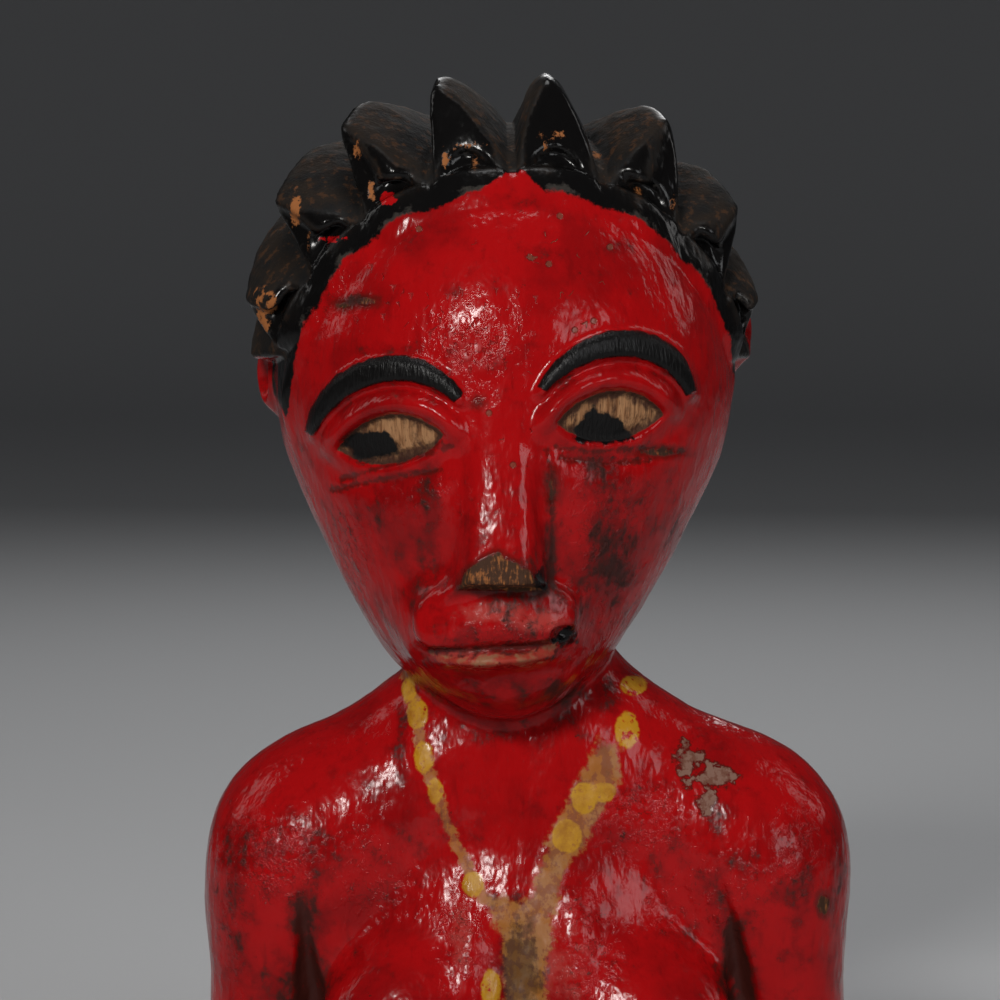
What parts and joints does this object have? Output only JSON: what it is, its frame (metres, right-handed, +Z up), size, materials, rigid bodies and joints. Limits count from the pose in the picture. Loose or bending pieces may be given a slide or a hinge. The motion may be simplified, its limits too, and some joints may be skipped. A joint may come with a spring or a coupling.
{
  "type": "baule figure bust",
  "caption": "Carved and painted wooden bust of a long-faced figure: toothed crest of hair, arched brows, long neck, rounded shoulders and upper arms, cut flat below.",
  "frame": {"origin": "centre of the bounding box's footprint, on the flat underside", "axes": "+Z up, the face looks along -Y, +X to the viewer's right when looking at the face"},
  "size_m": [0.1628, 0.1248, 0.2631],
  "materials": {
    "painted_wood": "glossy worn red paint on carved wood, black paint on the hair, brows and pupils, yellow beads painted on, bare wood at the eyes, nose tip and lower lip"
  },
  "bodies": {
    "root": {"carved_bust": "painted_wood"}
  },
  "joints": []
}
